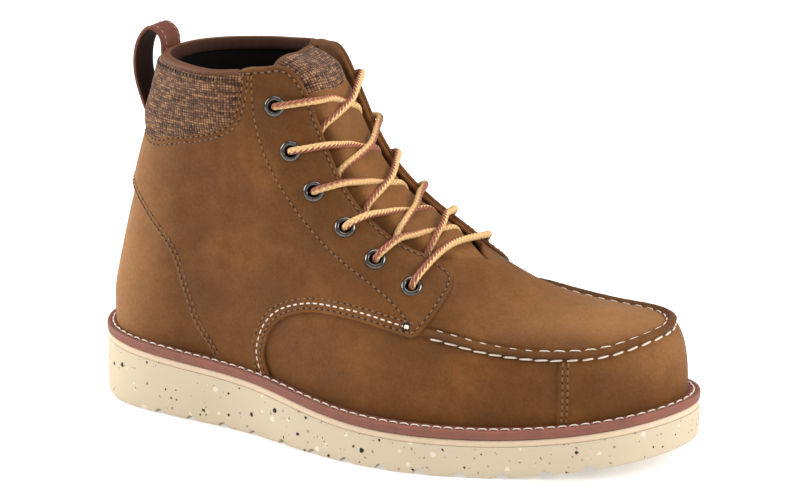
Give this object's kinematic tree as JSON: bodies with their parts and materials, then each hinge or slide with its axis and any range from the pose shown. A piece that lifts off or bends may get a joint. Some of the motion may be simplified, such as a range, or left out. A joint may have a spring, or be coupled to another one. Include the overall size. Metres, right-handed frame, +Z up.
{
  "type": "moc toe work boot",
  "caption": "Ankle-high lace-up moc toe work boot for the right foot, with a brown nubuck upper, padded knit collar, pull loop, stitched welt and speckled wedge sole.",
  "frame": {"origin": "middle of the boot's box at its underside, on the floor under the sole", "axes": "+X to the toe, -Y to the outer (lateral) side, +Z up"},
  "size_m": [0.3032, 0.1193, 0.1817],
  "materials": {
    "foam_rubber": "matt cream foamed rubber with dark and white specks",
    "midsole_foam": "matt pale peach",
    "welt_leather": "reddish-brown, satin edge",
    "insole_cloth": "black cloth",
    "nubuck": "brown nubuck, matt, uneven tone",
    "knit": "tweed knit of tan, brown and black yarn",
    "smooth_leather": "smooth dark brown leather, soft sheen",
    "gunmetal": "dark gunmetal, worn bright at the rim",
    "lace": "round braid, yellow-tan with a burgundy spiral"
  },
  "bodies": {
    "root": {"outsole": "foam_rubber", "midsole": "midsole_foam", "welt": "welt_leather", "insole": "insole_cloth", "upper": "nubuck", "quarter_lateral": "nubuck", "quarter_medial": "nubuck", "tongue": "nubuck", "knit_cuff": "knit", "collar_binding": "smooth_leather", "pull_loop": "smooth_leather", "eyelet_lateral_1": "gunmetal", "eyelet_medial_1": "gunmetal", "eyelet_lateral_2": "gunmetal", "eyelet_medial_2": "gunmetal", "eyelet_lateral_3": "gunmetal", "eyelet_medial_3": "gunmetal", "eyelet_lateral_4": "gunmetal", "eyelet_medial_4": "gunmetal", "eyelet_lateral_5": "gunmetal", "eyelet_medial_5": "gunmetal", "eyelet_lateral_6": "gunmetal", "eyelet_medial_6": "gunmetal", "lace_cross_1": "lace", "lace_cross_2": "lace", "lace_cross_3": "lace", "lace_cross_4": "lace", "lace_cross_5": "lace", "lace_bar": "lace"}
  },
  "joints": []
}
